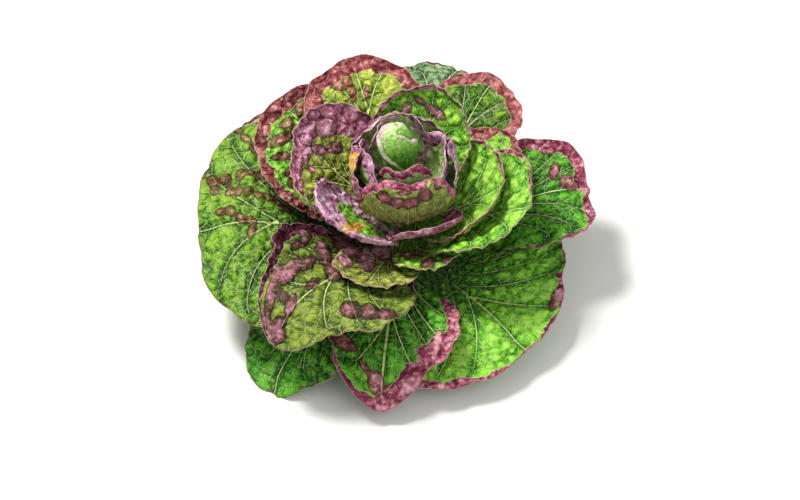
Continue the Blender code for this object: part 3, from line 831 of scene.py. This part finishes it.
class Nodes:
    """Short forms for the shader nodes of one material."""

    def __init__(self, name):
        self.material = bpy.data.materials.new(name)
        self.material.use_nodes = True
        self.tree = self.material.node_tree
        self.shader = self.tree.nodes["Principled BSDF"]
        self.place = self.add("ShaderNodeTexCoord").outputs["Object"]

    def set(self, socket, value):
        if isinstance(value, bpy.types.NodeSocket):
            self.tree.links.new(value, socket)
        else:
            socket.default_value = value

    def add(self, kind, inputs=(), **settings):
        node = self.tree.nodes.new(kind)
        for key, value in settings.items():
            setattr(node, key, value)
        for key, value in dict(inputs).items():
            self.set(node.inputs[key], value)
        return node

    def field(self, name):
        return self.add("ShaderNodeAttribute", attribute_name=name).outputs["Fac"]

    def calc(self, operation, a, b=0.0):
        return self.add("ShaderNodeMath", {0: a, 1: b}, operation=operation).outputs[0]

    def plus(self, a, b):
        return self.calc("ADD", a, b)

    def minus(self, a, b):
        return self.calc("SUBTRACT", a, b)

    def times(self, a, b):
        return self.calc("MULTIPLY", a, b)

    def size(self, value):
        return self.calc("ABSOLUTE", value)

    def span(self, value, low, high, start=0.0, end=1.0):
        inputs = {"Value": value, "From Min": low, "From Max": high, "To Min": start, "To Max": end}
        return self.add("ShaderNodeMapRange", inputs, interpolation_type="SMOOTHSTEP").outputs[0]

    def falling(self, value, low, high):
        """1 up to low, 0 from high."""
        return self.span(value, low, high, 1.0, 0.0)

    def noise(self, scale, detail=3.0, roughness=0.55, offset=0.0):
        place = self.place
        if offset:
            place = self.add("ShaderNodeVectorMath", {0: place, 1: (offset,) * 3}).outputs[0]
        return self.add("ShaderNodeTexNoise", {
            "Vector": place, "Scale": scale, "Detail": detail,
            "Roughness": roughness}).outputs["Fac"]

    def bubbles(self, scale):
        return self.add("ShaderNodeTexVoronoi", {"Vector": self.place, "Scale": scale},
                        feature="SMOOTH_F1").outputs["Distance"]

    def edges(self, scale, swirl):
        """Distance to the borders of cells that a noise has pushed about."""
        noise = self.add("ShaderNodeTexNoise", {"Vector": self.place, "Scale": 90.0, "Detail": 2.0})
        shift = self.add("ShaderNodeVectorMath", {
            0: noise.outputs["Color"], 1: (-0.5, -0.5, -0.5)}, operation="ADD").outputs[0]
        shift = self.add("ShaderNodeVectorMath", {0: shift, 1: (swirl, swirl, swirl)},
                         operation="MULTIPLY").outputs[0]
        place = self.add("ShaderNodeVectorMath", {0: self.place, 1: shift}).outputs[0]
        return self.add("ShaderNodeTexVoronoi", {"Vector": place, "Scale": scale},
                        feature="DISTANCE_TO_EDGE").outputs["Distance"]

    def line(self, name, soft):
        """1 on a vein and 0 off it, from its signed distance and half width in millimetres."""
        past = self.minus(self.size(self.field(name)), self.field(name + "_half"))
        return self.falling(past, -0.10, soft)

    def ramp(self, factor, stops):
        """Colour by factor, from stops of place and sRGB colour."""
        node = self.add("ShaderNodeValToRGB", {"Fac": factor})
        marks = node.color_ramp.elements
        while len(marks) < len(stops):
            marks.new(0.5)
        for mark, (where, colour) in zip(marks, stops):
            mark.position = where
            mark.color = linear(colour)
        return node.outputs["Color"]

    def mix(self, factor, a, b):
        node = self.add("ShaderNodeMix", data_type="RGBA")
        self.set(node.inputs[0], factor)
        for index, value in ((6, a), (7, b)):
            self.set(node.inputs[index], linear(value) if isinstance(value, tuple) else value)
        return node.outputs[2]

    def layer(self, colour, top, mask, share):
        """Colour with another on top of it where the mask is, at most share strong."""
        return self.mix(self.times(mask, share), colour, top)

    def finish(self, colour, roughness, height, bump, distance, gloss=None):
        """The material, with its colour, roughness and bump, and its gloss where given."""
        self.set(self.shader.inputs["Base Color"], colour)
        self.set(self.shader.inputs["Roughness"], roughness)
        if gloss is not None:
            self.set(self.shader.inputs["Specular IOR Level"], gloss)
        bump = self.add("ShaderNodeBump", {"Strength": bump, "Distance": distance, "Height": height})
        self.set(self.shader.inputs["Normal"], bump.outputs["Normal"])
        return self.material

    def weigh(self, *terms):
        """0.5 and each term's departure from 0.5, scaled."""
        total = 0.5
        for value, weight in terms:
            total = self.plus(self.times(self.minus(value, 0.5), weight), total)
        return total


def green_body(n, shades, mottle, grain, coarse_net, main, branch):
    """Colour of the blade before any purple, from its tone to its veins and underside."""
    light, middle, deep = shades
    # painted shade beside the veins and painted highlight on the domes: the tone is darker near a vein,
    # lighter between veins and on dome crowns
    painted_vein_shade = n.span(n.size(n.field("vein")), 0.3, 7.0)
    tone = n.weigh((n.noise(*CLOUDS), 1.1), (mottle, 1.55), (n.field("dome"), 0.40),
                   (grain, 1.2), (painted_vein_shade, 0.30))
    # painted shade: the tone darkens towards the leaf's base by its depth field
    tone = n.minus(n.plus(tone, TONE_LIFT), n.times(n.field("depth"), PAINTED_BASE_SHADE))
    body = n.ramp(tone, tuple(zip(GREEN_STOPS, (deep, middle, light))))
    sunny = n.mix(0.35, body, SUN)
    body = n.layer(body, sunny, n.span(n.noise(*SUN_SPOTS), 0.50, 0.75), SUN_SHARE)
    # painted shade in the folds along each blister's border
    body = n.layer(body, deep, n.falling(n.field("net"), 0.2, 1.5), FOLD_SHADE_SHARE)
    body = n.layer(body, light, n.falling(n.edges(*FINE_NET), 0.0, 0.10), THREAD_SHARE)
    # painted shade in the creases between blisters, then painted highlight on their crowns
    crease_shade = n.mix(0.7, body, deep)
    body = n.layer(body, crease_shade, n.falling(coarse_net, 0.02, 0.18), CREASE_SHADE_SHARE)
    body = n.layer(body, light, n.span(coarse_net, 0.2, 0.42), CROWN_HIGHLIGHT_SHARE)
    vein_colour = n.mix(0.25, VEIN, light)
    body = n.layer(body, vein_colour, n.falling(coarse_net, 0.0, 0.055),
                   n.span(mottle, 0.35, 0.65, 0.12, 0.50))
    # painted shade in the valley along each main vein
    body = n.layer(body, deep, n.line("vein", 1.7), VALLEY_SHADE_SHARE)
    body = n.layer(body, vein_colour, branch, BRANCH_SHARE)
    body = n.layer(body, vein_colour, main, MAIN_SHARE)
    return n.layer(body, UNDERSIDE, n.field("under"), UNDER_SHARE)


def purple_flesh(n, shades, mottle, grain, bumps, border, patch, main):
    """Colour of the borders and patches, and the tone it comes from."""
    light, middle, deep = shades
    # painted highlight: patch domes and the border's middle are lighter, and bead centres too through the
    # bumps term
    painted_dome_highlight = n.calc("MAXIMUM", n.span(patch, 0.2, 4.5), n.times(n.span(border, 0.2, 5.0), 0.5))
    tone = n.weigh((n.noise(*PURPLE_CLOUDS), 1.3), (mottle, 1.0), (grain, 0.6), (bumps, -0.5),
                   (painted_dome_highlight, 0.26))
    flesh = n.ramp(tone, tuple(zip(PURPLE_STOPS, (deep, middle, light))))
    # painted shade in the creases between the small blisters
    painted_crease_shade = n.falling(n.edges(*PURPLE_NET), 0.0, 0.12)
    flesh = n.layer(flesh, deep, painted_crease_shade, PURPLE_CREASE_SHADE_SHARE)
    return n.layer(flesh, light, main, PURPLE_VEIN_SHARE), tone


def leaf_border(n):
    """Depth inside the purple border in millimetres, roughened and broken here and there."""
    rough = n.times(n.minus(n.noise(*BORDER_ROUGH), 0.5), BORDER_ROUGHNESS)
    sweep = n.times(n.minus(n.noise(*BORDER_SWEEP), 0.52),
                    n.span(n.field("margin"), -8.0, 6.0, 0.0, BORDER_SWING))
    return n.plus(n.plus(n.field("margin"), rough), sweep)


def leaf_material(green, purple):
    n = Nodes(f"leaf_{green}_{purple}")
    p_light, p_middle, p_deep = PURPLES[purple]
    mottle, grain = n.noise(*MOTTLE), n.noise(*GRAIN)
    coarse_net = n.edges(*COARSE_NET)
    bumps = n.bubbles(BUMP_SCALE)
    # veins fade out where the painted base shade is deep
    outside_painted_shade = n.span(n.field("depth"), 0.05, 0.85, 1.0, 0.12)
    main = n.times(n.line("vein", 0.16), outside_painted_shade)
    branch = n.times(n.line("branch", 0.14), outside_painted_shade)
    border = leaf_border(n)
    ragged = n.times(n.minus(n.noise(*PATCH_ROUGH), 0.5), PATCH_ROUGHNESS)
    patch = n.plus(n.field("patch"), ragged)

    colour = green_body(n, GREENS[green], mottle, grain, coarse_net, main, branch)
    flesh, p_tone = purple_flesh(n, PURPLES[purple], mottle, grain, bumps, border, patch, main)
    in_patch = n.times(n.span(patch, -0.5, 0.6), n.span(mottle, 0.3, 0.6, 0.6, 0.95))
    colour = n.mix(n.calc("MAXIMUM", n.span(border, -0.5, 0.7), in_patch), colour, flesh)
    # painted shade: a dark ring round the edge of each patch's dome
    colour = n.layer(colour, p_deep, n.falling(n.size(patch), 0.1, 1.0), RING_SHADE_SHARE)
    gold = n.ramp(p_tone, tuple(zip(GOLD_STOPS, GOLD_SHADES)))
    colour = n.layer(colour, gold, n.span(n.plus(n.field("gold"), ragged), -0.5, 1.5), GOLD_SHARE)
    seam = n.times(n.span(border, -0.9, -0.1), n.falling(border, 0.1, 0.9))
    colour = n.layer(colour, SEAM, seam, SEAM_SHARE)
    colour = n.layer(colour, p_middle, n.falling(n.field("rim"), 0.9, 1.7), RIM_SHARE)
    # painted highlight: a pale line along the very edge of the rim
    rim_highlight = n.mix(0.5, p_light, RIM_HIGHLIGHT)
    colour = n.layer(colour, rim_highlight, n.falling(n.field("rim"), 0.1, 0.55), RIM_SHARE)

    height = n.plus(n.times(bumps, -0.8), n.times(mottle, 0.9))
    height = n.plus(height, n.times(n.span(coarse_net, 0.0, 0.40), 1.6))
    height = n.plus(height, n.times(n.plus(main, branch), 0.35))
    return n.finish(colour, n.span(mottle, 0.25, 0.75, 0.42, 0.62), height, 0.85, 0.0012, 0.2)


def heart_radius(z):
    """Egg above, and below its widest place never slimmer than the flared neck."""
    egg = HEART_RADIUS * math.sqrt(max(1 - ((z - HEART_MIDDLE) / HEART_HALF_HEIGHT) ** 2, 0))
    if z > HEART_MIDDLE:
        return egg
    rise = (z - HEART_BOTTOM) / (HEART_MIDDLE - HEART_BOTTOM)
    return max(egg, NECK_RADIUS + NECK_FLARE * float(smooth_step(2 * rise)))


def ring_at(radius, angle, z):
    return np.stack([radius * np.cos(angle), radius * np.sin(angle), np.full_like(angle, z)], -1)


def turned_faces(rows, columns):
    """Faces of closed rings with a bottom and a top face."""
    index = np.arange(rows * columns).reshape(rows, columns)
    after = np.roll(index, -1, axis=1)
    sides = np.stack([index[:-1], after[:-1], after[1:], index[1:]], -1).reshape(-1, 4)
    return [list(index[0][::-1]), *sides.tolist(), list(index[-1])]


def heart_piece(material):
    """Egg of wrapped leaves, each ending in a thin step over the one below it."""
    angle = np.linspace(0, 2 * math.pi, HEART_FINE_COLUMNS, endpoint=False)
    top = HEART_MIDDLE + HEART_HALF_HEIGHT * HEART_TIP
    points, wraps, lit_sides = [], [], []
    for t in np.linspace(0, 1, HEART_FINE_ROWS + 1):
        z = HEART_BOTTOM + (top - HEART_BOTTOM) * math.sin(t * math.pi / 2)
        wander = sum(h * np.sin(k * angle + climb * t) for h, k, climb in HEART_WANDER)
        wrap = (angle / (2 * math.pi) * HEART_WRAPS + HEART_TWIST * t + wander) % 1
        lip = smooth_step((1 - wrap) / HEART_LIP_SHARE)
        stand_off = HEART_FINE_STEP * (wrap * lip - 0.5) + HEART_LIP * wrap**HEART_LIP_BEND * lip
        radius = heart_radius(z) + stand_off * math.sin(math.pi * t)
        depth, count, climb = HEART_RIDGE
        radius = radius + depth * np.sin(count * angle + climb * t) * math.sin(math.pi * t)
        aside = HEART_LEAN * smooth_step(t) + HEART_SHIFT * smooth_step(2 * t)
        points.append(ring_at(radius, angle, z) - (aside, 0, 0))
        wraps.append(wrap)
        # painted light: how far each point faces the upper left, kept as the pale field
        out = ring_at(radius, angle, z - HEART_MIDDLE)
        lit_sides.append(0.5 + 0.5 * unit(out) @ HEART_LIGHT_FROM)
    rows = len(points)
    return add_mesh("heart_fine", np.concatenate(points), turned_faces(rows, HEART_FINE_COLUMNS),
                    material, {"wrap": np.concatenate(wraps), "pale": np.concatenate(lit_sides)})


def heart_material():
    n = Nodes("heart_leaves")
    wrap, pale = n.field("wrap"), n.field("pale")
    clouds, mottle = n.noise(70, 3, 0.6), n.noise(360, 4, 0.65, offset=2.0)
    veins = n.edges(260, 0.006)
    # the pale field is painted light: the tone is lighter on the side facing the upper left and darker on
    # the lower right
    tone = n.weigh((clouds, 0.9), (mottle, 1.3), (wrap, 0.25), (pale, 0.7))
    colour = n.ramp(tone, ((0.12, (34, 104, 10)), (0.5, (112, 176, 46)),
                           (0.92, (204, 228, 150))))
    colour = n.layer(colour, (206, 226, 150), n.falling(veins, 0.0, 0.08), 0.16)
    lip = n.times(n.span(wrap, 0.84, 0.94), n.span(mottle, 0.3, 0.6, 0.5, 0.9))
    colour = n.mix(lip, colour, (220, 196, 200))
    # painted shadow: dark green just under each wrap's lip
    colour = n.layer(colour, (30, 74, 14), n.falling(wrap, 0.0, 0.10), 0.75)
    # mauve leaf tips, laid where the painted light field is highest
    blush = n.times(n.span(pale, 0.78, 0.95), n.span(mottle, 0.4, 0.6, 0.2, 0.85))
    colour = n.mix(blush, colour, (204, 160, 182))
    height = n.plus(mottle, n.span(veins, 0.0, 0.3))
    return n.finish(colour, n.span(mottle, 0.25, 0.75, 0.38, 0.55), height, 0.5, 0.0008, 0.25)


def stem_piece(material):
    """Stem with fibrous ridges, cut flat at the bottom."""
    starts = BOWLS[::-1, 0]
    heights = [0.0, *starts[:, 1], STEM_TOP]
    radii = [STEM_RADIUS, *starts[:, 0], starts[-1, 0] - STEM_CLEARANCE]
    angle = np.linspace(0, 2 * math.pi, STEM_COLUMNS, endpoint=False)
    ridges = sum(h * np.sin(k * angle + k) for k, h in STEM_RIDGES)
    points, face = [], []
    for share in CUT_RINGS:
        ring = (STEM_RADIUS - STEM_CLEARANCE) * share
        points.append(ring_at(ring, angle, 0.0))
        face.append(np.full_like(angle, share))
    for z in np.linspace(0, STEM_TOP, STEM_ROWS + 1):
        relief = (ridges - STEM_RIDGE_DEPTH) * min(1, z / STEM_RIDGE_FADE)
        ring = np.interp(z, heights, radii) - STEM_CLEARANCE + relief
        points.append(ring_at(ring, angle, z))
        face.append(np.full_like(angle, 1.0 + z / STEM_TOP))
    return add_mesh("stem_fine", np.concatenate(points), turned_faces(len(points), STEM_COLUMNS),
                    material, {"run": np.concatenate(face)})


def stem_material():
    n = Nodes("stem_flesh")
    run = n.field("run")
    mottle = n.noise(420, 4, 0.6)
    rings = n.calc("SINE", n.times(run, 42.0))
    cut = n.ramp(n.weigh((rings, 0.25), (mottle, 1.2)), (
        (0.1, (150, 116, 70)), (0.5, (214, 204, 150)),
        (0.9, (236, 232, 196))))
    skin = n.ramp(n.weigh((n.noise(90, 3), 1.0), (mottle, 0.8)), (
        (0.2, (120, 140, 64)), (0.5, (190, 202, 124)),
        (0.85, (226, 228, 178))))
    colour = n.mix(n.span(run, 0.99, 1.01), cut, skin)
    browned = n.times(n.span(run, 0.82, 1.0), n.falling(run, 1.0, 1.06))
    colour = n.layer(colour, (132, 88, 48), browned, 0.5)
    return n.finish(colour, n.span(mottle, 0.3, 0.7, 0.45, 0.65), mottle, 0.4, 0.0008)


def stand_for(piece, node):
    """Show a piece in place of a CAD node."""
    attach(piece, "root")
    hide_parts(node)


def add_pieces():
    stand_for(stem_piece(stem_material()), "stem")
    stand_for(heart_piece(heart_material()), "heart")
    made = {}
    for seed, leaf in enumerate(LEAVES):
        key = (leaf.green, leaf.purple)
        if key not in made:
            made[key] = leaf_material(*key)
        blade = blade_mesh(leaf.name + "_fine", leaf, seed, made[key])
        stand_for(blade, leaf.name)


def add_camera():
    back, _ = view_axes()
    camera = bpy.data.cameras.new("photo_camera")
    camera.sensor_width = SENSOR_WIDTH
    camera.lens = VIEW_FOCAL_PIXELS / VIEW_SIZE[0] * SENSOR_WIDTH
    camera.clip_start, camera.clip_end = VIEW_CLIP
    seat = add_object("photo_camera", camera)
    seat.location = Vector((np.array(VIEW_TARGET) + back * VIEW_DISTANCE) * MM)
    seat.rotation_euler = Euler((math.radians(90 - VIEW_ELEVATION), 0, 0))
    bpy.context.scene.camera = seat


def add_light(name, place, size, watts, colour):
    lamp = bpy.data.lights.new(name, "AREA")
    lamp.size = size
    lamp.energy = watts
    lamp.color = colour
    seat = add_object(name, lamp)
    seat.location = place
    aim = Vector(LAMP_AIM) - Vector(place)
    seat.rotation_euler = aim.to_track_quat("-Z", "Y").to_euler()


def add_stage():
    mesh = bpy.data.meshes.new("floor")
    side = FLOOR_SIDE
    mesh.from_pydata([(-side, -side, 0), (side, -side, 0), (side, side, 0), (-side, side, 0)],
                     [], [(0, 1, 2, 3)])
    n = Nodes("pale_floor")
    mottle = n.noise(14, 4, 0.6)
    n.set(n.shader.inputs["Base Color"], n.ramp(mottle, (
        (0.3, (238, 237, 234)), (0.7, (246, 245, 243)))))
    n.set(n.shader.inputs["Roughness"], 0.9)
    n.set(n.shader.inputs["Specular IOR Level"], 0.1)
    mesh.materials.append(n.material)
    floor = add_object("floor", mesh)
    world = bpy.data.worlds.new("studio")
    world.use_nodes = True
    sky = world.node_tree.nodes["Background"]
    sky.inputs["Color"].default_value = (1.0, 1.0, 1.0, 1.0)
    sky.inputs["Strength"].default_value = ROOM_LIGHT
    bpy.context.scene.world = world
    for lamp in LAMPS:
        add_light(*lamp)
    bpy.context.scene.view_settings.view_transform = "Standard"


add_camera()
add_stage()
add_pieces()
